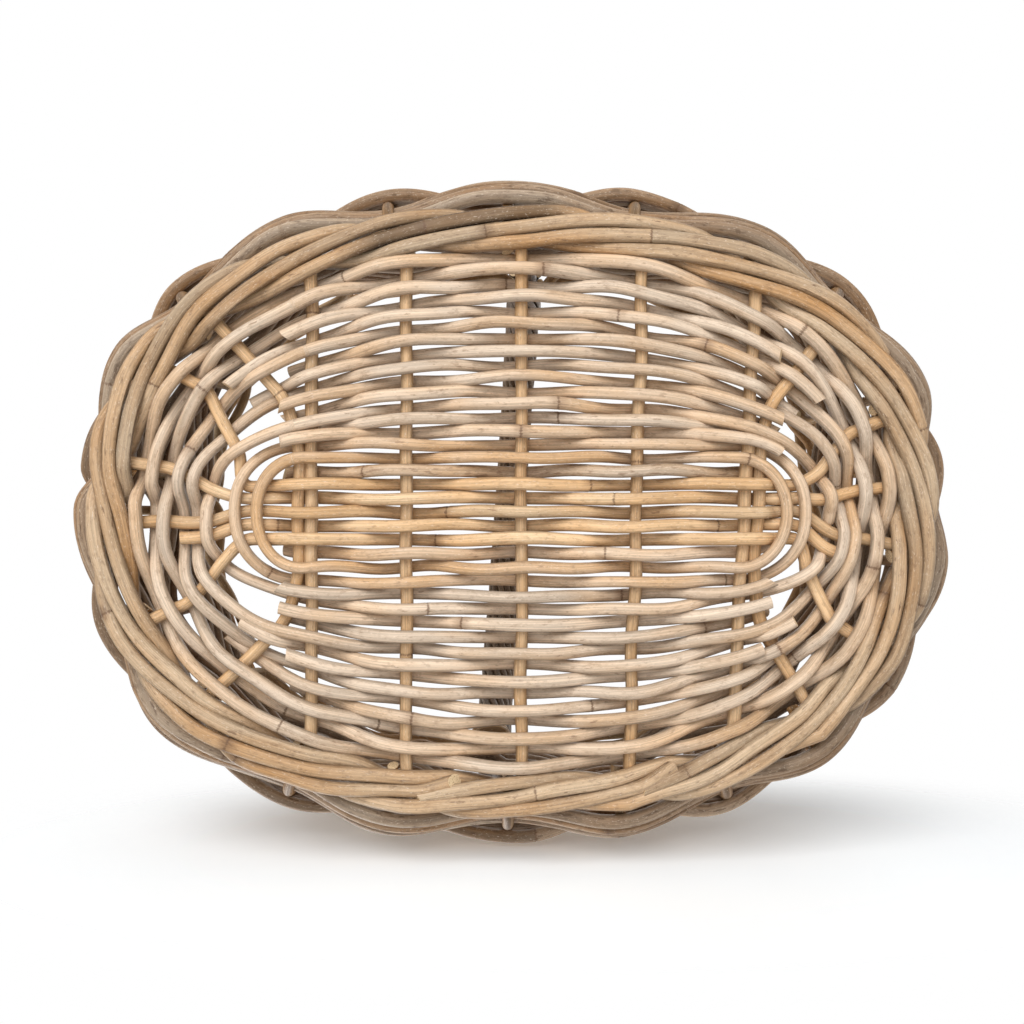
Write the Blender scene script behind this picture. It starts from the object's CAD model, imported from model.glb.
import bpy
import mathutils
import numpy as np
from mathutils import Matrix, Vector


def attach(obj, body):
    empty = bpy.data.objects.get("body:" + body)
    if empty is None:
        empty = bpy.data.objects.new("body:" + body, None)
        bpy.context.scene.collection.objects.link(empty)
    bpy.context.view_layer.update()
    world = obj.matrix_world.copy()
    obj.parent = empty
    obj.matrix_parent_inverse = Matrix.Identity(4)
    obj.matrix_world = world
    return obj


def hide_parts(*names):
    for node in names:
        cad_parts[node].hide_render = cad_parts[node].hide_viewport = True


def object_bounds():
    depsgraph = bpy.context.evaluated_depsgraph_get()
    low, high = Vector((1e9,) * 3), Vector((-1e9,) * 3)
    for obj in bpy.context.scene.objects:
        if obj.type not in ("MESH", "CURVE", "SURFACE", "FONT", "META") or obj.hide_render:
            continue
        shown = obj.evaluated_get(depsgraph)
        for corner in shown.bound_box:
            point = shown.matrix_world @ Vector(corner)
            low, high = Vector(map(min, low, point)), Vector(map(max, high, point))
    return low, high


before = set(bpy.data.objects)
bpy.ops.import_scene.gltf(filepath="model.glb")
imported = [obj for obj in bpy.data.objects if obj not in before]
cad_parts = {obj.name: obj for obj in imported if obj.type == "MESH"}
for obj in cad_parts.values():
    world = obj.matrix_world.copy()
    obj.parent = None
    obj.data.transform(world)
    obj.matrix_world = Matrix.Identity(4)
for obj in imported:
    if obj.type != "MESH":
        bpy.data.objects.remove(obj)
cad_box = [[float(v) for v in corner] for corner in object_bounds()]

# Cross sticks
# Seven whole rattan rods laid along the short axis as the warp of the base, the outer two at each end
# side by side. Five run straight across, and the outermost rod of each pair is bent out to the corners.
MM = 0.001
hand = np.random.default_rng(20)
stick_d = 7.0
loop_d = 6.4
packing_d = 6.0
stake_d = 7.0
wale_d = 7.2
rod_gap = 0.3
cross_pitch = 62.0
cross_shift = 5.0
pair_pull = 7.0
cross_lean = 3.0
long_count = 5
long_pitch = stick_d + 0.4
near_pitch = loop_d + 0.8
far_pitch = loop_d + 1.2
pair_half = (stick_d + rod_gap) / 2
loops = 8
first_ribbed_loop = 2
first_cornered_loop = 4
first_plain_loop = 5
first_staked_loop = 6
near_packs = [1, 0, 2, 2, 2, 2, 0, 0]
far_packs = [1, 0, 1, 2, 2, 2, 0, 0]
inner_loop_step = loop_d + 4.6
fan_step = loop_d + 8.5
end_step = loop_d + 0.3
edge_gap = 0.5
inner_square = 3.8
near_square = 2.5
far_square = 3.1
rim_square = 2.3
right_ribs = [-39, -17, -4, 5, 26, 44]
left_ribs = [-43, -29, -8.5, 1.5, 21, 41]
knee_loop = 2
short_stick_loop = 4
outer_share = 0.9
end_round = 0.9
stick_end_out = 3.0
first_loop_half = 2 * cross_pitch + pair_half + stick_d / 2 + 7.6 + loop_d / 2
wale_slot = (wale_d + rod_gap) / 2
wale_wave = (stick_d + wale_d + rod_gap) / 2
base_z = wale_wave + wale_d / 2 * np.cos(np.pi / 5)


def power(v, p):
    """v to the power p, with the sign of v kept."""
    return np.sign(v) * np.abs(v) ** p


def oval(a, b, square, turn):
    """Superellipse: x is a times the cosine to the power 2 / square, and y is b times the sine likewise."""
    turn = np.radians(turn)
    return np.stack([a * power(np.cos(turn), 2 / square), b * power(np.sin(turn), 2 / square)], axis=-1)


def outward(a, b, square, turn):
    """The oval's outward normal: the gradient of its two powered shares, made one long."""
    x, y = np.moveaxis(oval(a, b, square, turn), -1, 0)
    way = np.stack([power(x / a, square - 1) / a, power(y / b, square - 1) / b], axis=-1)
    return way / np.linalg.norm(way, axis=-1, keepdims=True)


def is_near(turn):
    """True on the long side at -Y."""
    return np.sin(np.radians(turn)) < 0


def parity(i):
    """1 for an even number and -1 for an odd one."""
    return 1 - 2 * (i % 2)


def loop_a(k):
    """Half length of loop k: two close inner loops, the room where the sticks fan out, then even steps."""
    fan = 0 if k < first_ribbed_loop else fan_step + (k - first_ribbed_loop) * end_step
    return first_loop_half + min(k, 1) * inner_loop_step + fan


def loop_row(k, near):
    """Number of the row that loop k makes on a long side, counting the packing rows inside it."""
    return 1 + k + sum((near_packs if near else far_packs)[:k + 1])


def row_y(row, near):
    """Distance of a row from the long axis, with the long sticks as the middle."""
    return (long_count - 1) / 2 * long_pitch + row * (near_pitch if near else far_pitch)


def loop_b(k, near):
    """Half width of loop k on one long side."""
    return row_y(loop_row(k, near), near)


def loop_square(k, near):
    """Squareness of loop k: the inner loops are long and blunt, the outer ones come near the rim's oval."""
    if k < first_ribbed_loop:
        return inner_square
    share = min(1, (k - first_ribbed_loop) / (first_plain_loop - first_ribbed_loop))
    start = near_square if near else far_square
    return start + (rim_square - start) * share


def loop_shift(k):
    """Sideways place of loop k's middle: the inner loops follow the cross sticks, the outer the rim."""
    return cross_shift * (1 - k / (loops - 1))


def loop_at(k, turn):
    """Points of loop k: an oval whose width and squareness differ on its two long sides. The inner loops
    run level, and their ends are rounded off as quarter ellipses."""
    near = is_near(turn)
    half = np.where(near, loop_b(k, True), loop_b(k, False))
    square = np.where(near, loop_square(k, True), loop_square(k, False))
    plan = oval(loop_a(k), half, square, turn)
    if k < first_ribbed_loop:
        past = np.clip(1 - (loop_a(k) - np.abs(plan[..., 0])) / (end_round * half), 0, 1)
        plan[..., 1] = np.sign(plan[..., 1]) * half * np.sqrt(1 - past**2)
    return plan + [loop_shift(k), 0]


wale_half = 2 * wale_slot + wale_d / 2
wale_a = loop_a(loops - 1) + loop_d / 2 + edge_gap + wale_half
wale_b = max(loop_b(loops - 1, True), loop_b(loops - 1, False)) + loop_d / 2 + edge_gap + wale_half


def raised(plan, z):
    """Points of a plan at the height z."""
    plan = np.asarray(plan, float)
    height = np.broadcast_to(np.asarray(z, float)[..., None], plan.shape[:-1] + (1,))
    return np.concatenate([plan, height], -1)


def wale_point(out, turn):
    """A point of the foot wale's oval, moved out, at the height of the sticks."""
    return raised(oval(wale_a + out, wale_b + out, rim_square, turn), base_z)


def turn_at_x(a, square, x, near):
    """Place on an oval's long side where it crosses the line x."""
    turn = np.degrees(np.arccos(power(x / a, square / 2)))
    return 360 - turn if near else 360 + turn


def pair_side(i):
    """Which side of column i its bent outer stick lies on: the first and last columns are pairs."""
    return {0: -1, 4: 1}.get(i, 0)


def cross_tilt(i):
    """Slope of column i: the columns to the right lean more and more."""
    return np.tan(np.radians(cross_lean)) * max(0, i - 2) / 2


def cross_x(i, y):
    """Middle line of column i at the height y."""
    return cross_shift + (i - 2) * cross_pitch + (pair_pull if i == 0 else 0) - y * cross_tilt(i)


def inner_x(i, y):
    """Line of the straight stick of column i."""
    return cross_x(i, y) - pair_side(i) * pair_half


def outer_x(i, y):
    """Line of the bent stick of column i, where it still runs beside the straight one."""
    return cross_x(i, y) + pair_side(i) * pair_half


def line_turn(ring, p, q, low, high):
    """Place where a ring crosses the straight line through p and q, found by halving a stretch of it."""
    def side(turn):
        x, y = ring(turn)[:2]
        return (q[0] - p[0]) * (y - p[1]) - (q[1] - p[1]) * (x - p[0])

    for _ in range(20):
        middle = (low + high) / 2
        if side(middle) * side(low) > 0:
            low = middle
        else:
            high = middle
    return middle


knee_y = loop_b(knee_loop, True) * outer_share


def knee_point(rib, right):
    """Where the bent stick of a pair leaves the straight one."""
    y = -knee_y if rib == 0 else knee_y
    return np.array([outer_x(4 if right else 0, y), y, base_z])


def rib_turn(k, rib, right):
    """Place of an end rib on loop k; the corner ribs run straight from the knee to the wale."""
    turn = 360 + right_ribs[rib] if right else 540 - left_ribs[rib]
    if k == loops - 1 or rib not in (0, 5):
        return turn
    return line_turn(lambda t: loop_at(k, t), knee_point(rib, right), rib_end(rib, right),
                     turn - 35, turn + 35)


def rib_point(k, rib, right):
    """Where an end rib crosses loop k."""
    return raised(loop_at(k, rib_turn(k, rib, right)), base_z)


def rib_end(rib, right):
    """Where an end rib sticks out of the foot wale."""
    return wale_point(stick_end_out, rib_turn(loops - 1, rib, right))


def smooth(points, closed=False, each=14):
    """Cubic through the points: each slope is that from the point before to the one after, by chord."""
    points = np.asarray(points, float)
    if closed:
        points = np.concatenate([points[-1:], points, points[:2]])
    chord = np.maximum(np.linalg.norm(np.diff(points, axis=0), axis=1), 1e-6)
    at = np.concatenate([[0], np.cumsum(chord)])
    slope = np.gradient(points, at, axis=0)
    share = np.arange(each) / each
    h = np.stack([2 * share**3 - 3 * share**2 + 1, share**3 - 2 * share**2 + share,
                  3 * share**2 - 2 * share**3, share**3 - share**2])[..., None, None]
    reach = chord[None, :, None]
    path = h[0] * points[:-1] + h[1] * reach * slope[:-1] + h[2] * points[1:] + h[3] * reach * slope[1:]
    path = path.transpose(1, 0, 2)
    if closed:
        return path[1:-1].reshape(-1, 3)
    return np.concatenate([path.reshape(-1, 3), points[-1:]])


def slow_waves(s, length, count, wave, closed):
    """Sum of sines along a rod with random phases and wavelengths near the one given, about 1 high."""
    turns = length / wave * hand.uniform(0.5, 1.8, count)
    if closed:
        turns = np.maximum(1, np.round(turns))
    phase = hand.uniform(0, 2 * np.pi, count)
    return np.sin(2 * np.pi * s[:, None] / length * turns + phase).sum(axis=1) / np.sqrt(count)


ring_step = 2.4
cane_sides = 14
node_spacing = (190.0, 460.0)
node_offsets = np.array([-5.0, -2.6, -1.2, -0.5, 0.0, 0.5, 1.2, 2.6, 5.0])


def cane(path, thick, closed=False, lean=(0, 0, 1), wander=0.5, tone=0.5, hue=0.5, scars=0.3, cuts=(0, 0),
         tip=(1, 1), vary=0.09, stacked=False):
    """A rattan rod carried along a path in millimetres. Its radius is half the thickness times slow waves,
    a low swelling at each leaf node with a groove in it, and an oval section that turns along the rod.
    The path wanders a little, and open ends are cut off square or at the slant that cuts gives. The skin
    is darker along the two lines where neighbours touch it: at its sides, or above and below if stacked."""
    path = np.asarray(path, float)
    line = np.concatenate([path, path[:1]]) if closed else path
    run = np.concatenate([[0], np.cumsum(np.linalg.norm(np.diff(line, axis=0), axis=1))])
    length = run[-1]
    spaces = hand.uniform(*node_spacing, int(length / node_spacing[0]) + 2)
    nodes = np.cumsum(spaces) - hand.uniform(60, 240)
    nodes = nodes[(nodes > 8) & (nodes < length - 8)]
    steps = max(4, int(length / ring_step))
    even = np.arange(steps) * length / steps if closed else np.linspace(0, length, steps + 1)
    s = np.concatenate([even, (nodes[:, None] + node_offsets).ravel()])
    s = np.sort(np.clip(s, 0, length))
    s = s[np.concatenate([[True], np.diff(s) > 0.25])]
    if closed:
        s = s[s < length - 0.25]
    centre = np.stack([np.interp(s, run, line[:, axis]) for axis in range(3)], axis=1)
    if closed:
        padded = np.concatenate([centre[-1:], centre, centre[:1]])
        along = padded[2:] - padded[:-2]
    else:
        along = np.gradient(centre, s, axis=0)
    along /= np.linalg.norm(along, axis=1, keepdims=True)
    lean = np.broadcast_to(np.asarray(lean, float), path.shape)
    lean = np.concatenate([lean, lean[:1]]) if closed else lean
    lean = np.stack([np.interp(s, run, lean[:, axis]) for axis in range(3)], axis=1)
    up = lean - along * (lean * along).sum(axis=1, keepdims=True)
    up /= np.linalg.norm(up, axis=1, keepdims=True)
    side = np.cross(up, along)
    centre = centre + side * (wander * slow_waves(s, length, 4, 90, closed))[:, None]
    centre = centre + up * (0.4 * wander * slow_waves(s, length, 4, 70, closed))[:, None]

    gap = np.abs(s[:, None] - nodes).min(axis=1) if len(nodes) else np.full(len(s), 100.0)
    radius = thick / 2 * (1 + 0.035 * slow_waves(s, length, 3, 120, closed))
    radius = radius * (1 + 0.05 * np.exp(-(gap / 3.2) ** 2) - 0.05 * np.exp(-(gap / 0.5) ** 2))
    theta = 2 * np.pi * np.arange(cane_sides) / cane_sides
    turn = theta + hand.uniform(0, 2 * np.pi) + s[:, None] / length * hand.uniform(-1, 1)
    shape = radius[:, None] * (1 + 0.03 * np.cos(2 * turn) + 0.012 * np.cos(3 * turn + 1))
    shift = np.zeros_like(shape)
    for end, cut in enumerate(cuts):
        from_end = s if end == 0 else length - s
        reach = np.clip(1 - from_end / (thick * (0.6 + abs(cut))), 0, 1)
        shift += reach[:, None] * cut * radius[:, None] * np.cos(theta + hand.uniform(0, 2 * np.pi))
        shape *= (1 - (1 - tip[end]) * np.clip(1 - from_end / (4 * thick), 0, 1))[:, None]
    ring = (centre[:, None] + shape[..., None] * (side[:, None] * np.cos(theta)[:, None]
                                                 + up[:, None] * np.sin(theta)[:, None])
            + along[:, None] * shift[..., None])
    segment = np.searchsorted(nodes, s)
    level = tone + np.append(0, hand.normal(0, vary, len(nodes) + 1))[segment]
    shade = hue + np.append(0, hand.normal(0, 0.13, len(nodes) + 1))[segment]
    if closed:
        last = segment == len(nodes)
        level[last] = level[0]
        shade[last] = shade[0]
    skin = np.stack(np.broadcast_arrays(thick / 2 * np.cos(turn), thick / 2 * np.sin(turn), s[:, None]), -1)
    skin = skin + [0, 0, hand.uniform(0, 9000)]

    touched = 0.6 * np.clip((np.abs(np.sin(theta) if stacked else np.cos(theta)) - 0.6) / 0.4, 0, 1) ** 1.5

    count = len(s)
    i = np.arange(count if closed else count - 1)[:, None]
    j = np.arange(cane_sides)
    after = (i + 1) % count
    beside = (j + 1) % cane_sides
    quads = np.stack([i * cane_sides + j, i * cane_sides + beside, after * cane_sides + beside,
                      after * cane_sides + j], axis=-1).reshape(-1, 4)
    rod = {"points": ring.reshape(-1, 3), "quads": quads, "caps": np.zeros((0, 3), int),
           "cane": skin.reshape(-1, 3), "node_gap": np.repeat(gap, cane_sides),
           "tone": (level[:, None] - touched).ravel(), "hue": np.repeat(shade, cane_sides),
           "scars": np.full(count * cane_sides, scars)}
    if not closed:
        middles = [ring[0].mean(axis=0), ring[-1].mean(axis=0)]
        hub = count * cane_sides
        last = (count - 1) * cane_sides
        rod["caps"] = np.concatenate([
            np.stack([np.full(cane_sides, hub), beside, j], axis=-1),
            np.stack([np.full(cane_sides, hub + 1), last + j, last + beside], axis=-1)])
        rod["points"] = np.concatenate([rod["points"], middles])
        rod["cane"] = np.concatenate([rod["cane"], [skin[0].mean(axis=0), skin[-1].mean(axis=0)]])
        for name in ("node_gap", "tone", "hue", "scars"):
            rod[name] = np.concatenate([rod[name], rod[name][[0, -1]]])
    return rod


def piece(name, node, material, rods):
    """One object of one or more rods in metres, with the rods' own coordinates as attributes. A rod that
    would stand past the frame's box is pressed flat against it."""
    starts = np.cumsum([0] + [len(rod["points"]) for rod in rods])
    points = np.concatenate([rod["points"] for rod in rods]) * MM
    points = np.clip(points, cad_box[0], cad_box[1])
    quads = np.concatenate([rod["quads"] + start for rod, start in zip(rods, starts)])
    caps = np.concatenate([rod["caps"] + start for rod, start in zip(rods, starts)])
    mesh = bpy.data.meshes.new(name)
    mesh.vertices.add(len(points))
    mesh.vertices.foreach_set("co", points.ravel())
    mesh.loops.add(quads.size + caps.size)
    mesh.loops.foreach_set("vertex_index", np.concatenate([quads.ravel(), caps.ravel()]).astype(np.int32))
    mesh.polygons.add(len(quads) + len(caps))
    sizes = np.concatenate([np.full(len(quads), 4), np.full(len(caps), 3)])
    mesh.polygons.foreach_set("loop_start", (np.cumsum(sizes) - sizes).astype(np.int32))
    mesh.update(calc_edges=True)
    mesh.validate()
    skin = mesh.attributes.new("cane", "FLOAT_VECTOR", "POINT")
    skin.data.foreach_set("vector", np.concatenate([rod["cane"] for rod in rods]).ravel())
    for key in ("node_gap", "tone", "hue", "scars"):
        layer = mesh.attributes.new(key, "FLOAT", "POINT")
        layer.data.foreach_set("value", np.concatenate([rod[key] for rod in rods]))
    cut = mesh.attributes.new("cut", "FLOAT", "FACE")
    cut.data.foreach_set("value", (sizes == 3).astype(float))
    mesh.polygons.foreach_set("use_smooth", np.ones(len(sizes), bool))
    mesh.set_sharp_from_angle(angle=np.radians(50))
    mesh.materials.append(material)
    made = bpy.data.objects.new(name, mesh)
    bpy.context.scene.collection.objects.link(made)
    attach(made, "root")
    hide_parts(node)
    return made


def paint(red, green, blue):
    """A colour given in screen values from 0 to 255, as the linear colour that shaders take."""
    value = np.array([red, green, blue]) / 255
    linear = np.where(value <= 0.04045, value / 12.92, ((value + 0.055) / 1.055) ** 2.4)
    return (*[float(v) for v in linear], 1.0)


def shader_node(tree, kind, sockets=(), **settings):
    """A shader node with its settings; each socket gets a value, or a link from another node's output."""
    made = tree.nodes.new(kind)
    for key, value in settings.items():
        setattr(made, key, value)
    for key, value in dict(sockets).items():
        if isinstance(value, bpy.types.NodeSocket):
            tree.links.new(value, made.inputs[key])
        else:
            made.inputs[key].default_value = value
    return made


def calc(tree, operation, a, b=0.0, c=0.0):
    """The result of one Math node."""
    return shader_node(tree, "ShaderNodeMath", {0: a, 1: b, 2: c}, operation=operation).outputs[0]


def ramp(tree, value, low, high, start=0.0, end=1.0):
    """A smooth step: start below low, end above high."""
    return shader_node(tree, "ShaderNodeMapRange", {"Value": value, "From Min": low, "From Max": high,
                                                    "To Min": start, "To Max": end},
                       interpolation_type="SMOOTHSTEP").outputs[0]


def mixed(tree, share, a, b, blend="MIX"):
    """Two colours mixed by a share."""
    return shader_node(tree, "ShaderNodeMix", {0: share, 6: a, 7: b}, data_type="RGBA",
                       blend_type=blend).outputs[2]


def cane_noise(tree, vector, across, along, detail=2.0, rough=0.5):
    """Noise in a rod's own coordinates, with so many waves to the millimetre across and along it."""
    turned = shader_node(tree, "ShaderNodeMapping", {"Vector": vector, "Scale": (across, across, along)})
    return shader_node(tree, "ShaderNodeTexNoise", {"Vector": turned.outputs[0], "Scale": 1.0,
                                                    "Detail": detail, "Roughness": rough}).outputs[0]


# Rattan skin as a shader group: it mixes a pale and a warm tone in long blotches, then lays fibre lines,
# scars, specks, leaf-node rings and cut ends over them.
skin_group = bpy.data.node_groups.new("rattan_skin", "ShaderNodeTree")
for socket_name in ("Pale", "Warm", "Scar"):
    skin_group.interface.new_socket(socket_name, in_out="INPUT", socket_type="NodeSocketColor")
skin_group.interface.new_socket("Color", in_out="OUTPUT", socket_type="NodeSocketColor")
skin_group.interface.new_socket("Roughness", in_out="OUTPUT", socket_type="NodeSocketFloat")
skin_group.interface.new_socket("Height", in_out="OUTPUT", socket_type="NodeSocketFloat")


def draw_rattan_skin(tree):
    """Fills the rattan skin group."""
    given = shader_node(tree, "NodeGroupInput").outputs
    place = shader_node(tree, "ShaderNodeAttribute", attribute_name="cane").outputs["Vector"]
    gap, tone, hue, scars, cut = [
        shader_node(tree, "ShaderNodeAttribute", attribute_name=key).outputs["Fac"]
        for key in ("node_gap", "tone", "hue", "scars", "cut")]
    blotch = cane_noise(tree, place, 0.06, 0.016, 3.0)
    fibre = cane_noise(tree, place, 1.1, 0.012, 2.0)
    fine = cane_noise(tree, place, 3.2, 0.06, 2.0)
    scar = cane_noise(tree, place, 0.42, 0.11, 4.0, 0.6)
    speck = cane_noise(tree, place, 1.3, 0.55, 2.0)
    warm = calc(tree, "MULTIPLY_ADD", calc(tree, "SUBTRACT", blotch, 0.5), 2.2, hue)
    color = mixed(tree, shader_node(tree, "ShaderNodeClamp", {"Value": warm}).outputs[0],
                  given["Pale"], given["Warm"])
    value = calc(tree, "MULTIPLY_ADD", tone, 0.6, 0.7)
    value = calc(tree, "MULTIPLY", value, ramp(tree, fibre, 0.36, 0.62, 0.8, 1.05))
    value = calc(tree, "MULTIPLY", value, ramp(tree, fine, 0.3, 0.7, 0.86, 1.08))
    grey = shader_node(tree, "ShaderNodeCombineColor", {"Red": value, "Green": value, "Blue": value})
    color = mixed(tree, 1.0, color, grey.outputs[0], "MULTIPLY")
    scar_edge = calc(tree, "MULTIPLY_ADD", scars, -0.2, 0.72)
    scar_mask = ramp(tree, calc(tree, "SUBTRACT", scar, scar_edge), 0.0, 0.1, 0.0, 0.6)
    color = mixed(tree, scar_mask, color, given["Scar"])
    color = mixed(tree, ramp(tree, speck, 0.66, 0.76, 0.0, 0.45), color, given["Scar"])
    mottle = cane_noise(tree, place, 0.5, 0.2, 4.0, 0.65)
    color = mixed(tree, ramp(tree, mottle, 0.5, 0.72, 0.0, 0.4), color, given["Scar"])
    fleck = cane_noise(tree, place, 1.6, 0.5, 3.0, 0.6)
    color = mixed(tree, ramp(tree, fleck, 0.58, 0.7, 0.0, 0.4), color, paint(232, 216, 196))
    ragged = calc(tree, "MULTIPLY_ADD", calc(tree, "SUBTRACT", speck, 0.5), 3.0, gap)
    halo = calc(tree, "MULTIPLY", ramp(tree, ragged, 0.5, 7.0, 0.55, 0.0), ramp(tree, blotch, 0.4, 0.6))
    color = mixed(tree, halo, color, given["Scar"])
    ring = ramp(tree, ragged, 0.0, 1.0, 0.75, 0.0)
    color = mixed(tree, ring, color, paint(96, 68, 46))
    pore = ramp(tree, cane_noise(tree, place, 1.9, 1.9, 1.0), 0.5, 0.64, 0.0, 0.6)
    end_grain = mixed(tree, pore, paint(228, 202, 162), paint(140, 104, 70))
    color = mixed(tree, cut, color, end_grain)
    rough = calc(tree, "MULTIPLY_ADD", scar_mask, 0.2, ramp(tree, fibre, 0.3, 0.7, 0.62, 0.46))
    height = calc(tree, "MULTIPLY_ADD", fibre, 0.6, calc(tree, "MULTIPLY", fine, 0.35))
    height = calc(tree, "SUBTRACT", height, calc(tree, "MULTIPLY", scar_mask, 0.25))
    shader_node(tree, "NodeGroupOutput", {"Color": color, "Roughness": rough, "Height": height})


draw_rattan_skin(skin_group)


def rattan(name, pale, warm, scar):
    """A rattan finish: the skin group with its own tones, under a satin skin with fine fibre relief."""
    material = bpy.data.materials.new(name)
    material.use_nodes = True
    tree = material.node_tree
    skin = shader_node(tree, "ShaderNodeGroup", node_tree=skin_group)
    skin.inputs["Pale"].default_value = pale
    skin.inputs["Warm"].default_value = warm
    skin.inputs["Scar"].default_value = scar
    bump = shader_node(tree, "ShaderNodeBump", {"Height": skin.outputs["Height"], "Strength": 0.5,
                                                "Distance": 0.0006})
    shader = tree.nodes["Principled BSDF"]
    shader.inputs["Specular IOR Level"].default_value = 0.35
    tree.links.new(skin.outputs["Color"], shader.inputs["Base Color"])
    tree.links.new(skin.outputs["Roughness"], shader.inputs["Roughness"])
    tree.links.new(bump.outputs[0], shader.inputs["Normal"])
    return material


stick_rattan = rattan("stick_rattan", paint(224, 194, 156), paint(209, 167, 119), paint(126, 90, 60))


def edge_y(x):
    """Half length of a straight cross stick at the line x: as far as the sticks reach past the wale."""
    return wale_point(stick_end_out, turn_at_x(wale_a + stick_end_out, rim_square, x, False))[1]


def corner_points(i):
    """The bent stick of a pair: straight through the inner loops, round a knee, then out to the corner."""
    right = pair_side(i) > 0
    ends = [rib_end(0, right), knee_point(0, right), knee_point(5, right), rib_end(5, right)]
    shares = [(0, 1, (0, 0.35, 0.65, 0.85)), (1, 2, (0.16, 0.5, 0.84)), (2, 3, (0.15, 0.35, 0.65, 1))]
    return [ends[a] + (ends[b] - ends[a]) * share for a, b, steps in shares for share in steps]


def straight_points(i):
    """The straight stick of column i from one side of the foot to the other."""
    low, high = edge_y(inner_x(i, -wale_b)), edge_y(inner_x(i, wale_b))
    return [np.array([inner_x(i, y), y, base_z]) for y in np.linspace(-low, high, 6)]


for number, (column, bent) in enumerate([(0, True), (0, False), (1, False), (2, False), (3, False),
                                         (4, False), (4, True)], start=1):
    route = corner_points(column) if bent else straight_points(column)
    rod = cane(smooth(route), stick_d, wander=0.5, tone=hand.uniform(0.4, 0.6), hue=hand.uniform(0.5, 0.9),
               scars=0.35, cuts=hand.uniform(-0.3, 0.3, 2))
    node = f"base_cross_stick_{number}"
    piece(f"{node}_cane", node, stick_rattan, [rod])

# Long sticks
# Five rods through the middle of the base, woven over and under the cross sticks. They fan out as ribs
# under the loops at both ends, and the fourth is cut short there.
long_ribs = [1, 2, 3, 3, 4]
short_stick = 3
short_stick_room = 0.6
long_wave = stick_d + rod_gap / 2


def across_stops(y, row, paired):
    """Crossings of a rod laid straight across the columns: [x, side], one side for both sticks of a pair."""
    stops = []
    for i in range(5):
        inner, outer = inner_x(i, y), outer_x(i, y)
        places = sorted([inner, outer]) if paired and pair_side(i) else [inner]
        stops += [[x, parity(i + row)] for x in places]
    return stops


def across_mids(stops):
    """The crossings, with a point in the middle between two that lie on different sides."""
    mids = [[(a[0] + b[0]) / 2, 0] for a, b in zip(stops, stops[1:]) if a[1] != b[1]]
    return sorted(stops + mids)


def long_y(number):
    """Line of a long stick."""
    return (number - (long_count - 1) / 2) * long_pitch


def long_tail(number, right):
    """End of a long stick: under the inner loops, then out along its rib to the wale."""
    way = 1 if right else -1
    short = number == short_stick
    end = loop_shift(0) + way * loop_a(0)
    start = [np.array([end + way * step * loop_d, long_y(number), base_z]) for step in (-1, 1)]
    last = short_stick_loop if short else loops - 1
    ribs = [rib_point(k, long_ribs[number], right) + [0, long_pitch + short_stick_room if short else 0, 0]
            for k in range(first_ribbed_loop, last + 1)]
    return start + ribs + ([] if short else [rib_end(long_ribs[number], right)])


for number in range(long_count):
    y = long_y(number)
    middle = [np.array([x, y, base_z - side * long_wave])
              for x, side in across_mids(across_stops(y, number, True))]
    route = long_tail(number, False)[::-1] + middle + long_tail(number, True)
    rod = cane(smooth(route), stick_d, wander=0.6, tone=hand.uniform(0.4, 0.65),
               hue=hand.uniform(0.45, 0.85), scars=0.45, cuts=hand.uniform(-0.3, 0.3, 2))
    node = f"base_long_stick_{number + 1}"
    piece(f"{node}_cane", node, stick_rattan, [rod])

# Loops
# Eight weavers that run right round the base, over one stick and under the next. The two inner ones pass
# below all the long sticks at the ends; the outer ones weave through the fan of ribs.
loop_thick = [6.5, 6.5, 6.7, 6.8, 6.9, 7.0, 7.2, 7.2]
loop_wave = 6.4
stake_side = (stick_d + stake_d + rod_gap) / 2


def turn_step(a, b, square, turn, distance):
    """How far on round an oval a distance reaches."""
    return distance / np.linalg.norm(oval(a, b, square, turn + 0.5) - oval(a, b, square, turn - 0.5))


def stick_turn(k, x, near):
    """Place on loop k where it crosses the line x."""
    return turn_at_x(loop_a(k), loop_square(k, near), x - loop_shift(k), near)


def stick_crossings(k, i, near, side):
    """Crossings of loop k at column i: one stick, a pair, or on the outer loops a stick and its stake."""
    y = (-1 if near else 1) * loop_b(k, near) * outer_share
    places = [stick_turn(k, inner_x(i, y), near)]
    right = pair_side(i) > 0
    if k >= first_staked_loop:
        places.append(stick_turn(k, inner_x(i, y) - stake_side, near))
    elif k < first_cornered_loop and pair_side(i) and k > knee_loop:
        places.append(rib_turn(k, 0 if near else 5, right) - (360 if near and not right else 0))
    elif k < first_cornered_loop and pair_side(i):
        places.append(stick_turn(k, outer_x(i, y), near))
    return [[turn, side] for turn in sorted(places)]


def rib_crossings(k, rib, right, side):
    """Crossings of loop k at an end rib: with its stake on the outer loops, else with the short stick."""
    turn = rib_turn(k, rib, right)
    near = bool(is_near(turn))
    beside = 0
    if k >= first_staked_loop:
        beside = (-1 if near else 1) * stake_side
    elif rib == 3 and k <= short_stick_loop:
        beside = (1 if right else -1) * (long_pitch + short_stick_room)
    step = turn_step(loop_a(k), loop_b(k, near), loop_square(k, near), turn, beside) if beside else 0
    return [[t, side] for t in sorted({turn, turn + step})]


def end_group(k, right):
    """An inner loop's crossings at one end, where it passes below the whole bundle of long sticks."""
    near, far = [np.degrees(np.arcsin((2 * long_pitch / loop_b(k, way)) ** (loop_square(k, way) / 2)))
                 for way in (True, False)]
    return [[t, 1] for t in ((360 - near, 360, 360 + far) if right else (540 - far, 540, 540 + near))]


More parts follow.
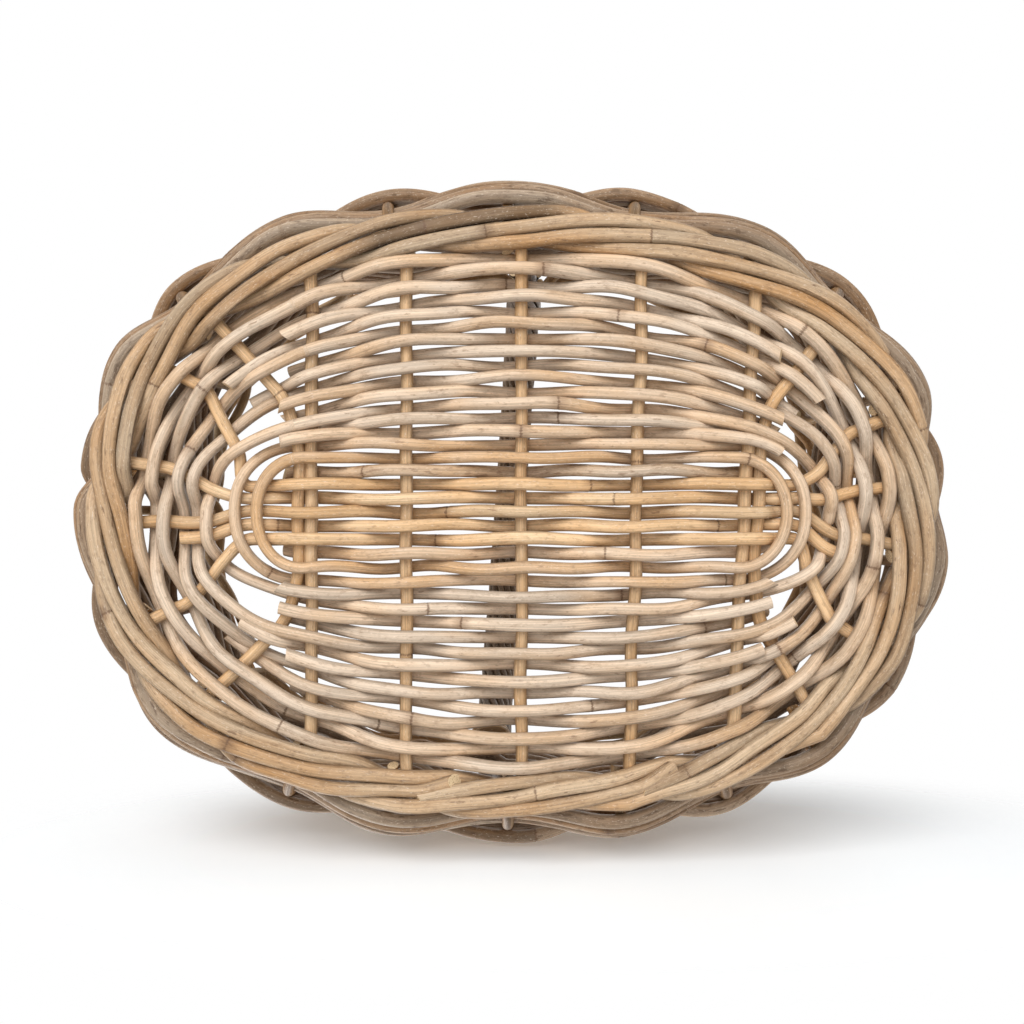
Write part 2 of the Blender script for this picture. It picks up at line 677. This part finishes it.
def crossings(k):
    """All crossings of loop k in order round it, each [place, side]; side 1 passes below the stick."""
    near_row, far_row = loop_row(k, True), loop_row(k, False)
    stops = []
    if k < first_ribbed_loop:
        for i in range(5):
            stops += stick_crossings(k, i, True, parity(i + near_row))
        stops += end_group(k, True)
        for i in reversed(range(5)):
            stops += stick_crossings(k, i, False, parity(i + far_row))
        return stops + end_group(k, False)
    ribs = range(6) if k >= first_cornered_loop else range(1, 5)
    first = parity(near_row)
    for i in range(5):
        stops += stick_crossings(k, i, True, first * parity(i))
    for r, rib in enumerate(ribs):
        stops += rib_crossings(k, rib, True, -first * parity(r))
    for i in reversed(range(5)):
        stops += stick_crossings(k, i, False, -first * parity(i))
    for r, rib in reversed(list(enumerate(ribs))):
        stops += rib_crossings(k, rib, False, first * parity(r))
    return stops


def weave(stops, at, period=0):
    """Side of a weaver at each place: from one crossing to the next it goes over in half a cosine wave."""
    place, side = np.array(stops, float).T
    if period:
        place, side = np.append(place, place[0] + period), np.append(side, side[0])
    i = np.clip(np.searchsorted(place, at, "right") - 1, 0, len(place) - 2)
    share = np.clip((at - place[i]) / (place[i + 1] - place[i]), 0, 1)
    return side[i] + (side[i + 1] - side[i]) * (1 - np.cos(np.pi * share)) / 2


loop_rattan = rattan("loop_rattan", paint(214, 193, 170), paint(206, 166, 122), paint(124, 94, 70))
loop_hues = [0.75, 0.6, 0.25, 0.2, 0.3, 0.2, 0.3, 0.35]
for k in range(loops):
    stops = crossings(k)
    turn = stops[0][0] + np.linspace(0, 360, 2400, endpoint=False)
    route = raised(loop_at(k, turn), base_z - loop_wave * weave(stops, turn, 360))
    rod = cane(route, loop_thick[k], closed=True, wander=0.6, tone=hand.uniform(0.4, 0.65),
               hue=loop_hues[k], scars=0.5)
    piece(f"base_loop_{k + 1}_cane", f"base_loop_{k + 1}", loop_rattan, [rod])

# Packing rods
# Short weavers laid between the loops on the two long sides, where the oval is wider than the loops
# alone can fill. They are cut off just past the outer sticks or the corner sticks, which hold their ends.
packing_thick = 6.8
packing_wave = (stick_d + packing_d + rod_gap) / 2
packing_tail = 5.0
corner_tail = 9.0


def row_height(k, near, x):
    """How far loop k lies from the long axis at the line x."""
    return np.abs(loop_at(k, stick_turn(k, x, near))[..., 1])


def packing_route(k, step, near):
    """A packing rod between loops k - 1 and k: its row lies at even shares between the two."""
    packs = near_packs if near else far_packs
    way = -1 if near else 1
    row = (loop_row(k - 1, near) if k else 0) + step
    stops = across_stops(way * row_y(row, near) * outer_share, row, k < first_cornered_loop)
    tail = (packing_tail if k < first_cornered_loop else corner_tail) + stick_d / 2
    for right, end in ((False, 0), (True, -1)):
        x, side = stops[end]
        added = [[x + (tail if right else -tail), side]]
        if k >= first_cornered_loop and step == 1:
            corner = np.mean([rib_point(ring, 0 if near else 5, right)[0] for ring in (k - 1, k)])
            added = [[corner, -side], [corner + (tail if right else -tail), -side]]
        stops = stops + added if right else added[::-1] + stops
    x = np.linspace(stops[0][0], stops[-1][0], 600)
    inner = row_height(k - 1, near, x) if k else (long_count - 1) / 2 * long_pitch
    outer = row_height(k, near, x)
    y = way * (inner + (outer - inner) * step / (packs[k] + 1))
    return np.stack([x, y, base_z - packing_wave * weave(stops, x)], axis=1)


for side_name, near in (("near", True), ("far", False)):
    rods = []
    for k, packs in enumerate(near_packs if near else far_packs):
        for step in range(1, packs + 1):
            worn = 0.9 if near and k == 0 else 0.45
            rods.append(cane(packing_route(k, step, near), packing_thick, wander=0.6,
                             tone=hand.uniform(0.35, 0.65), hue=hand.uniform(0.05, 0.45) + 0.4 * (k < 2),
                             scars=worn, cuts=hand.uniform(-0.8, 0.8, 2)))
    piece(f"base_packing_{side_name}_canes", f"base_packing_{side_name}", loop_rattan, rods)

# Foot wale
# Four rods twisted round the edge of the base: each passes below three stick ends, from the inside of the
# wale to its outside, and above the fourth. They tie the sticks and stakes into the foot; one is dark brown
# along part of the near side.
wale_rods = 4
wale_thick = 7.7
wale_low = base_z - wale_thick / 2


def stick_exit(i, near):
    """Place on the wale where the straight stick of column i leaves, and its way out."""
    way = -1 if near else 1
    turn = turn_at_x(wale_a, rim_square, inner_x(i, way * wale_b * outer_share), near)
    out = way * np.array([-cross_tilt(i), 1.0])
    return turn, out / np.linalg.norm(out)


def rib_exit(rib, right):
    """Place on the wale where an end rib leaves, and its way out."""
    out = (rib_end(rib, right) - rib_point(loops - 2, rib, right))[:2]
    return rib_turn(loops - 1, rib, right), out / np.linalg.norm(out)


exits = ([stick_exit(i, True) for i in range(5)] + [rib_exit(r, True) for r in range(6)]
         + [stick_exit(i, False) for i in reversed(range(5))]
         + [rib_exit(r, False) for r in reversed(range(6))])
stakes = len(exits)
stick_turns = np.array([turn for turn, _ in exits])


def beside_turn(turn, out):
    """Place on the wale of the stake that lies beside a stick, on its -X side and parallel to it."""
    p = wale_point(0, turn)[:2] + (-1 if is_near(turn) else 1) * stake_side * np.array([-out[1], out[0]])
    return line_turn(lambda t: wale_point(0, t), p, p + out, turn - 12, turn + 12)


def slant_turn(turn, out):
    """How far a slanting stick moves along the wale from its inside to its outside."""
    way = outward(wale_a, wale_b, rim_square, turn)
    slant = abs(way[0] * out[1] - way[1] * out[0]) / (way @ out)
    return turn_step(wale_a, wale_b, rim_square, turn, 2 * wale_slot * slant)


stake_turns = np.array([beside_turn(turn, out) for turn, out in exits])
slant_turns = np.array([slant_turn(turn, out) for turn, out in exits])
wale_states = np.array([[-2 * wale_slot, -wale_low], [0, -wale_low], [2 * wale_slot, -wale_low],
                        [0, wale_wave]])
wale_mids = np.array([[-wale_slot, -wale_low], [wale_slot, -wale_low], [2.3 * wale_slot, 0],
                      [-2.1 * wale_slot, 0]])
wale_joints = [10.7, 11.7, 12.7, 13.7]
dark_rod = 2
dark_stretch = [-95.0, 38.0]


def wale_spot(turn, slot):
    """A point of the wale: out by the slot's first value, up by its second."""
    return wale_point(slot[0], turn) + [0, 0, slot[1]]


def wale_stop(v, number):
    """A wale rod's place v stakes along: in one state at a stick and its stake, then on to the next one."""
    i = int(np.floor(v))
    share = v - i
    here, after = i % stakes, (i + 1) % stakes
    state, mid = wale_states[(i + number) % wale_rods], wale_mids[(i + number) % wale_rods]
    first, last = np.sort([stick_turns[here], stake_turns[here]]) + [-slant_turns[here], slant_turns[here]]
    following = min(stick_turns[after], stake_turns[after]) - slant_turns[after]
    following += 360 if after == 0 else 0
    if share < 0.5:
        return wale_spot((first + last) / 2, state)
    slot = mid + (wale_states[(i + 1 + number) % wale_rods] - mid) * (2 * share - 1)
    return wale_spot(last + (following - last) * share, slot)


def stake_turn(u):
    """Place u stakes round the wall."""
    i = int(np.floor(u))
    here, following = stake_turns[i % stakes], stake_turns[(i + 1) % stakes]
    return here + (following - here) % 360 * (u - i)


def splice(v, way):
    """Where two ends of the wale meet, the step that puts one outside and the other inside."""
    return np.array([*(way * wale_d / 2 * outward(wale_a, wale_b, rim_square, stake_turn(v))), 0.0])


wale_rattan = rattan("wale_rattan", paint(204, 177, 145), paint(184, 139, 90), paint(92, 65, 44))
for number in range(wale_rods):
    start = wale_joints[number]
    stop = stakes + wale_joints[(number + stakes) % wale_rods]
    route = [wale_stop(start - 0.2, number) + splice(start, -1), wale_stop(start + 0.2, number)]
    for v in range(int(np.floor(start)) + 1, int(np.floor(stop)) + 1):
        route.append(wale_stop(v, number))
        if (v + number) % wale_rods >= 2:
            route.append(wale_stop(v + 0.5, number))
    route[-1] = wale_stop(stop - 0.3, number)
    route.append(wale_stop(stop + 0.2, number) + splice(stop, 1))
    rod = cane(smooth(route), wale_thick, wander=0.5, tone=hand.uniform(0.3, 0.55),
               hue=hand.uniform(0.15, 0.8), scars=0.5, cuts=(0.8, -0.8), vary=0.18)
    if number == dark_rod:
        x, y = rod["points"].T[:2]
        into = np.clip((x - dark_stretch[0]) / 25, 0, 1)
        rod["tone"] -= into * np.clip((dark_stretch[1] - x) / 20, 0, 1) * (y < 0)
    node = f"foot_wale_rod_{number + 1}"
    piece(f"{node}_cane", node, wale_rattan, [rod])

# Wall bands
# Five bands of four rods woven round the side stakes, outside one stake and inside the next, each band
# opposite to the one below, so the wall comes out scalloped. The two lower bands lie on the stakes' bend.
wall_d = 7.2
wall_thick = 7.5
bend_out = np.array([24.0, 30.0])
draw_in = np.array([28.0, 14.0])
bend_rods = 8
band_count = 5
band_rods = 4
bow_d = 16.0
leg_room = 1.6
wall_wave = 6.4
tight_wave = [-4.6, -5.6]
wall_pitch = wall_d + rod_gap
bend_h = bend_rods * wall_pitch
leg_wave = (bow_d + wall_d) / 2 + 2 * rod_gap
leg_side = (bow_d + stake_d) / 2 + rod_gap + leg_room
wale_size = np.array([wale_a, wale_b])
wall_size = wale_size + bend_out
leg_stakes = [2, 13]
bend_turns = np.radians(np.linspace(0, 90, 46))
bend_spots = np.stack([bend_out.mean() * np.sin(bend_turns), bend_h * (1 - np.cos(bend_turns))], axis=1)
bend_runs = np.append(0, np.cumsum(np.linalg.norm(np.diff(bend_spots, axis=0), axis=1)))
first_rod_along = wale_half + wall_d / 2 + 2 * rod_gap
bend_bands = np.ceil((bend_runs[-1] - first_rod_along) / wall_pitch / band_rods)
leg_first_rod = band_rods * int(bend_bands + 1)


def bend_z(turn):
    """Height on the stakes' bend, a quarter of an ellipse, at a turn in radians."""
    return base_z + bend_h * (1 - np.cos(turn))


def rod_lie(q):
    """Turn on the bend, height and slope of wall rod q, which lies at even steps along the stakes."""
    along = first_rod_along + q * wall_pitch
    turn = np.interp(along, bend_runs, bend_turns)
    slope = np.arctan2(bend_h * np.sin(turn), bend_out.mean() * np.cos(turn))
    return turn, bend_z(turn) + max(0, along - bend_runs[-1]), slope


bend_top = bend_z(np.pi / 2)
wall_top = rod_lie(band_count * band_rods)[1]


def wall_half(z, turn):
    """Half sizes of the wall's oval: growing along the bend, then drawn in evenly towards the rim."""
    return wale_size + bend_out * np.sin(turn) - draw_in * max(0, z - bend_top) / (wall_top - bend_top)


def leg_turn(stake):
    """Place of a handle leg: beside its stake, on the side that lies further round."""
    near = bool(is_near(stake_turns[stake]))
    x = oval(*wall_size, rim_square, stake_turns[stake])[0]
    return turn_at_x(wall_size[0], rim_square, x + (leg_side if near else -leg_side), near)


leg_turns = [leg_turn(stake) for stake in leg_stakes]


def wall_route(q):
    """Wall rod q: its oval, pushed out and in along the wall's normal by half cosine waves."""
    first = parity(q // band_rods)
    stops = []
    for i in range(stakes):
        side = first * parity(i)
        tight = side < 0 and q < 2 * band_rods
        stops.append([stake_turns[i], tight_wave[q // band_rods] if tight else side * wall_wave])
        if q >= leg_first_rod and i in leg_stakes:
            stops.append([leg_turns[leg_stakes.index(i)], side * leg_wave])
    turn = stops[0][0] + np.linspace(0, 360, 2400, endpoint=False)
    out = weave(stops, turn, 360)
    bend, z, slope = rod_lie(q)
    half = wall_half(z, bend)
    plan = oval(*half, rim_square, turn) + outward(*half, rim_square, turn) * (out * np.sin(slope))[:, None]
    return raised(plan, z - out * np.cos(slope))


wall_rattan = rattan("wall_rattan", paint(180, 158, 134), paint(158, 122, 86), paint(80, 58, 40))
for band in range(band_count):
    rods = [cane(wall_route(q), wall_thick, closed=True, stacked=True, wander=0.4,
                 tone=hand.uniform(0.2, 0.6), hue=hand.uniform(0.1, 0.8), scars=0.8, vary=0.14)
            for q in range(band * band_rods, (band + 1) * band_rods)]
    piece(f"wall_band_{band + 1}_canes", f"wall_band_{band + 1}", wall_rattan, rods)

# Side stakes and border
# One rod beside each stick end, pushed into the base weave, bent up round the foot to carry the wall.
# At the top each is turned down: inside the next stake, over the second, and down outside the third.
border_stops = [[0.12, 0, 0.75], [0.5, 0, 1.05], [1, -1, 1.1], [1.5, -0.55, 2.1], [2, 0, 2.3],
                [2.5, 0.55, 2.1], [2.9, 1, 1.3]]
border_rise = stake_d + rod_gap
border_slot = stake_d + 2 * rod_gap
border_foot = wall_top + (wall_d + stake_d) / 2 - wall_pitch
border_top = border_foot + 2.3 * border_rise + stake_d / 2
rim_half = wall_half(wall_top, np.pi / 2)
leg_out = leg_side / border_slot
lean_out = 2 * border_rise * draw_in[1] / (wall_top - bend_top) / border_slot
leg_reach = 0.1
insert_in = 11.0
stake_thick = 6.4


def leg_stops(passed, leg):
    """Border stops of a stake that passes a handle leg: pushed clear of it on its own side."""
    stake = leg_stakes[leg]
    share = (leg_turns[leg] - stake_turns[stake]) / (stake_turns[stake + 1] - stake_turns[stake])
    at = passed - share
    way = 1 if passed == 3 else -1
    push = leg_out if passed == 3 else 1
    places, _, heights = np.array(border_stops).T
    stops = []
    for index, stop in enumerate(border_stops):
        if index == 2 * passed:
            stops.append([stop[0], way * push, stop[2]])
        else:
            stops.append(stop)
        if index == 2 * passed - 1:
            stops += [[u, way * leg_out - lean_out, np.interp(u, places, heights)]
                      for u in (at - leg_reach, at + leg_reach)]
    return stops


def stake_route(i):
    """A stake: from between the outer loops through the wale, up round the bend and into the border."""
    turn, way = stake_turns[i], exits[i][1]
    edge = wale_point(0, turn)
    route = [edge - insert_in * np.array([*way, 0]), edge]
    for bend in np.radians([18, 36, 54, 72, 90]):
        z = bend_z(bend)
        route.append(raised(oval(*wall_half(z, bend), rim_square, turn), z))
    rim = raised(oval(*rim_half, rim_square, turn), border_foot)
    route += [route[-1] + (rim - route[-1]) * share for share in (0.33, 0.67, 1)]
    stops = border_stops
    for leg, stake in enumerate(leg_stakes):
        if stake < i <= stake + 3:
            stops = leg_stops(i - stake, leg)
    for passed, out, rise in stops:
        t = stake_turn(i - passed)
        plan = oval(*rim_half, rim_square, t) + out * border_slot * outward(*rim_half, rim_square, t)
        route.append(raised(plan, border_foot + rise * border_rise))
    return route


stake_rattan = rattan("stake_rattan", paint(200, 172, 134), paint(186, 140, 88), paint(98, 70, 46))
for i in range(stakes):
    route = smooth(stake_route(i))
    across = np.array([-exits[i][1][1], exits[i][1][0], 0])
    inwards = -np.array([*outward(*rim_half, rim_square, stake_turn(i - 1.2)), 0])
    share = np.clip((route[:, 2:] - bend_top) / (border_foot - bend_top), 0, 1)
    lean = across + (inwards - across) * share
    rod = cane(route, stake_thick, lean=lean, wander=0.3, tone=hand.uniform(0.35, 0.6),
               hue=hand.uniform(0.3, 0.8), scars=0.5, cuts=(0.5, 0.8))
    foot = np.clip((bend_h - rod["points"][:, 2]) / 25, 0, 1)
    rod["tone"] -= 0.6 * foot
    rod["hue"] += 0.6 * foot
    piece(f"side_stake_{i + 1}_cane", f"side_stake_{i + 1}", stake_rattan, [rod])

# Handle
# A thick rattan bow whose two legs are pushed down into the wall beside the middle stakes. Above the
# border it is laid over with twelve thin rods in a long twist, all dark with handling.
rope_d = 4.8
rope_turns = 2.0
spring_h = 4.0
leg_spots = [oval(*rim_half, rim_square, turn) for turn in leg_turns]
rim_span = np.linalg.norm(leg_spots[1] - leg_spots[0])
handle_middle = (leg_spots[0] + leg_spots[1]) / 2
handle_way = (leg_spots[1] - leg_spots[0]) / rim_span
handle_side = np.array([-handle_way[1], handle_way[0], 0])
arch_z = border_top + spring_h
leg_foot = rod_lie(leg_first_rod)[1] - wall_d / 2
leg_lean = np.arctan(draw_in[1] / (wall_top - bend_top))
arch_r = (rim_span / 2 - (arch_z - wall_top) * np.tan(leg_lean)) / np.cos(leg_lean)
arch_middle = arch_z - arch_r * np.sin(leg_lean)
rope_r = (bow_d + rope_d + rod_gap) / 2
rope_rods = int(np.pi / np.arcsin((rope_d + rod_gap) / 2 / rope_r))
rope_rings = 240


def arch_points(angle, r, across):
    """Points over the arch: a circle of the arch's radius plus r, moved across the arch."""
    reach = -(arch_r + r) * np.cos(angle)
    plan = handle_middle + reach[:, None] * handle_way + across[:, None] * handle_side[:2]
    return raised(plan, arch_middle + (arch_r + r) * np.sin(angle))


handle_rattan = rattan("handle_rattan", paint(138, 116, 92), paint(116, 88, 60), paint(62, 46, 34))
angle = np.linspace(leg_lean, np.pi - leg_lean, rope_rings)
arch = arch_points(angle, np.zeros(rope_rings), np.zeros(rope_rings))
foot_reach = rim_span / 2 + (wall_top - leg_foot) * np.tan(leg_lean)
legs = [[*(handle_middle + way * foot_reach * handle_way), leg_foot] for way in (-1, 1)]
route = np.concatenate([np.linspace(legs[0], arch[0], 40)[:-1], arch,
                        np.linspace(arch[-1], legs[1], 40)[1:]])
rod = cane(route, bow_d, lean=handle_side, wander=0.2, tone=0.4, hue=0.5, scars=0.5)
piece("handle_bow_cane", "handle_bow", handle_rattan, [rod])
rods = []
for number in range(rope_rods):
    lay = 2 * np.pi * (number / rope_rods + rope_turns * np.linspace(0, 1, rope_rings))
    laid = arch_points(angle, rope_r * np.cos(lay), rope_r * np.sin(lay))
    rods.append(cane(laid, rope_d, lean=handle_side, wander=0.2, tone=hand.uniform(0.3, 0.6),
                     hue=hand.uniform(0.2, 0.8), scars=0.5))
piece("handle_rope_canes", "handle_rope", handle_rattan, rods)

# Floor, light and camera
# The basket is seen from below, lying on its long side on a pale floor that keeps its shadow. A second
# floor under the foot shows only from above. Soft lamps stand over the camera, over the rim and behind.
scene = bpy.context.scene
scene.view_settings.view_transform = "Standard"
base_scale = 0.54 * MM
camera_back = 0.56
photo_middle = np.array([0.0, 0.0, base_z * MM])
camera_data = bpy.data.cameras.new("photo_camera")
camera_data.sensor_width = 36.0
camera_data.lens = 36.0 * (camera_back / base_scale) / 1024
camera = bpy.data.objects.new("photo_camera", camera_data)
camera.location = photo_middle - [0, 0, camera_back]
camera.rotation_euler = (np.pi, 0, 0)
scene.collection.objects.link(camera)
scene.camera = camera

world = bpy.data.worlds.new("studio")
scene.world = world
world.use_nodes = True
tree = world.node_tree
path = shader_node(tree, "ShaderNodeLightPath")
seen = calc(tree, "MAXIMUM", path.outputs["Is Camera Ray"],
            calc(tree, "MAXIMUM", path.outputs["Is Glossy Ray"], path.outputs["Is Transmission Ray"]))
from_below = shader_node(tree, "ShaderNodeSeparateXYZ", {
    0: shader_node(tree, "ShaderNodeNewGeometry").outputs["Incoming"]}).outputs["Z"]
soft = ramp(tree, from_below, -0.3, 0.95, 0.22, 1.0)
strength = shader_node(tree, "ShaderNodeMix", {0: seen, 2: soft, 3: 1.0}).outputs[0]
background = tree.nodes["Background"]
background.inputs["Color"].default_value = (1, 1, 1, 1)
tree.links.new(strength, background.inputs["Strength"])


def lamp(name, place, power, size):
    """A square soft lamp that faces the middle of the basket."""
    data = bpy.data.lights.new(name, "AREA")
    data.energy = power
    data.size = size
    made = bpy.data.objects.new(name, data)
    made.location = place
    way = np.array([0, 0, 0.1]) - np.array(place)
    up = np.array([0, 0, 1.0]) if abs(way[2]) < 0.9 * np.linalg.norm(way) else np.array([0, 1.0, 0])
    back = -way / np.linalg.norm(way)
    right = np.cross(up, back)
    right /= np.linalg.norm(right)
    turned = mathutils.Matrix(np.stack([right, np.cross(back, right), back], axis=1))
    made.rotation_euler = turned.to_euler()
    scene.collection.objects.link(made)
    return made


lamp("key_lamp", (-0.5, -1.2, -1.4), 30.0, 1.4)
lamp("rim_lamp", (0.5, -0.6, 1.6), 9.0, 1.2)
lamp("back_lamp", (-0.7, 1.5, 0.8), 17.0, 1.2)


def floor(name, corners, way, middle, reach, white, glow):
    """A white floor that only the camera sees, from its front and with the view along the way given, so
    that it keeps the basket's shadow and throws no light back. It fades out as an ellipse."""
    mesh = bpy.data.meshes.new(name)
    mesh.from_pydata(corners, [], [(0, 1, 2, 3)])
    material = bpy.data.materials.new(name)
    material.use_nodes = True
    tree = material.node_tree
    tree.nodes.remove(tree.nodes["Principled BSDF"])
    geometry = shader_node(tree, "ShaderNodeNewGeometry").outputs
    facing = shader_node(tree, "ShaderNodeVectorMath", {0: geometry["Incoming"], 1: way},
                         operation="DOT_PRODUCT")
    shown = calc(tree, "MULTIPLY", ramp(tree, facing.outputs["Value"], 0.1, 0.3),
                 calc(tree, "SUBTRACT", shader_node(tree, "ShaderNodeLightPath").outputs["Is Camera Ray"],
                      geometry["Backfacing"]))
    place = shader_node(tree, "ShaderNodeTexCoord").outputs["Object"]
    offset = shader_node(tree, "ShaderNodeVectorMath", {0: place, 1: middle}, operation="SUBTRACT")
    share = shader_node(tree, "ShaderNodeVectorMath", {0: offset.outputs[0], 1: reach}, operation="DIVIDE")
    far = shader_node(tree, "ShaderNodeVectorMath", {0: share.outputs[0]}, operation="LENGTH")
    shown = calc(tree, "MULTIPLY", shown, ramp(tree, far.outputs["Value"], 0.45, 1.0, 1.0, 0.0))
    matt = shader_node(tree, "ShaderNodeBsdfDiffuse", {"Color": (0.95 * white, 0.98 * white, white, 1)})
    own = shader_node(tree, "ShaderNodeEmission", {"Color": (1, 1, 1, 1), "Strength": glow})
    lit = shader_node(tree, "ShaderNodeAddShader", {0: matt.outputs[0], 1: own.outputs[0]})
    clear = shader_node(tree, "ShaderNodeBsdfTransparent")
    both = shader_node(tree, "ShaderNodeMixShader", {0: shown, 1: clear.outputs[0], 2: lit.outputs[0]})
    tree.links.new(both.outputs[0], tree.nodes["Material Output"].inputs["Surface"])
    mesh.materials.append(material)
    made = bpy.data.objects.new(name, mesh)
    scene.collection.objects.link(made)


lie_y = cad_box[1][1] + 0.0005
floor("photo_floor", [(-2, lie_y, -0.4), (2, lie_y, -0.4), (2, lie_y, 2), (-2, lie_y, 2)], (0, 0, -1),
      (0.04, lie_y, 0.05), (0.42, 1.0, 0.2), 1.0, 0.1)
floor("table_floor", [(-3, -3, -0.0005), (3, -3, -0.0005), (3, 3, -0.0005), (-3, 3, -0.0005)], (0, 0, 1),
      (0.0, 0.0, 0.0), (0.5, 0.45, 1.0), 0.5, 0.7)
